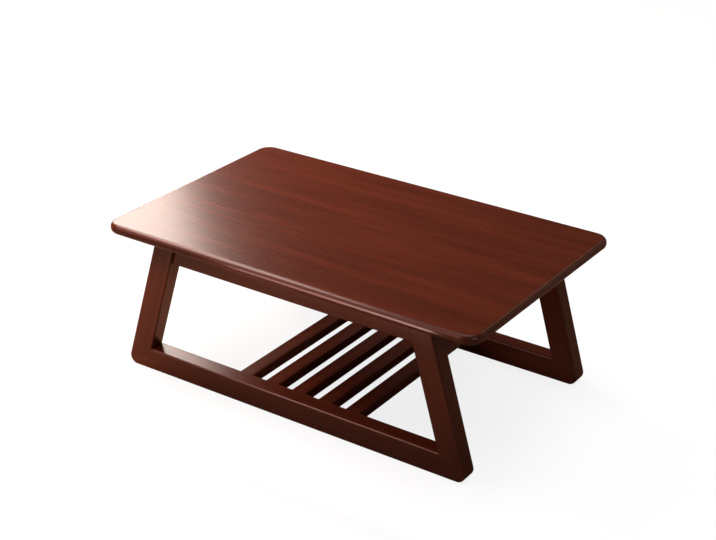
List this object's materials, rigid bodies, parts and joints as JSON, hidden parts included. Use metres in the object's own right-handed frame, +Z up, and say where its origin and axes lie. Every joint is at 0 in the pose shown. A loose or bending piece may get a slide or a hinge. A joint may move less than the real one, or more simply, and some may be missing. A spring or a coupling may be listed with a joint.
{
  "type": "coffee table",
  "caption": "Low rectangular coffee table with a round-edged top on splayed runner frames, joined by a slatted lower shelf.",
  "frame": {"origin": "on the floor, under the middle of the tabletop", "axes": "+X along the table to the right, +Y from the front to the rear, +Z up"},
  "size_m": [0.8, 0.5, 0.3],
  "materials": {
    "lacquered_wood": "red walnut stain under semi-gloss lacquer",
    "bare_beech": "unfinished",
    "zinc_plated_steel": "bright zinc plate"
  },
  "bodies": {
    "root": {"tabletop": "lacquered_wood", "front_left_leg": "lacquered_wood", "front_right_leg": "lacquered_wood", "rear_left_leg": "lacquered_wood", "rear_right_leg": "lacquered_wood", "front_runner": "lacquered_wood", "rear_runner": "lacquered_wood", "front_long_apron": "lacquered_wood", "rear_long_apron": "lacquered_wood", "left_short_apron": "lacquered_wood", "right_short_apron": "lacquered_wood", "slat_1": "lacquered_wood", "slat_2": "lacquered_wood", "slat_3": "lacquered_wood", "slat_4": "lacquered_wood", "slat_5": "lacquered_wood", "front_left_mitre_tenon": "bare_beech", "front_right_mitre_tenon": "bare_beech", "rear_left_mitre_tenon": "bare_beech", "rear_right_mitre_tenon": "bare_beech", "front_left_long_apron_tenon": "bare_beech", "front_right_long_apron_tenon": "bare_beech", "rear_left_long_apron_tenon": "bare_beech", "rear_right_long_apron_tenon": "bare_beech", "front_left_short_apron_tenon": "bare_beech", "front_right_short_apron_tenon": "bare_beech", "rear_left_short_apron_tenon": "bare_beech", "rear_right_short_apron_tenon": "bare_beech", "front_slat_dowel_1": "bare_beech", "front_slat_dowel_2": "bare_beech", "front_slat_dowel_3": "bare_beech", "front_slat_dowel_4": "bare_beech", "front_slat_dowel_5": "bare_beech", "rear_slat_dowel_1": "bare_beech", "rear_slat_dowel_2": "bare_beech", "rear_slat_dowel_3": "bare_beech", "rear_slat_dowel_4": "bare_beech", "rear_slat_dowel_5": "bare_beech", "front_top_screw_1": "zinc_plated_steel", "front_top_screw_2": "zinc_plated_steel", "front_top_screw_3": "zinc_plated_steel", "rear_top_screw_1": "zinc_plated_steel", "rear_top_screw_2": "zinc_plated_steel", "rear_top_screw_3": "zinc_plated_steel"}
  },
  "joints": []
}
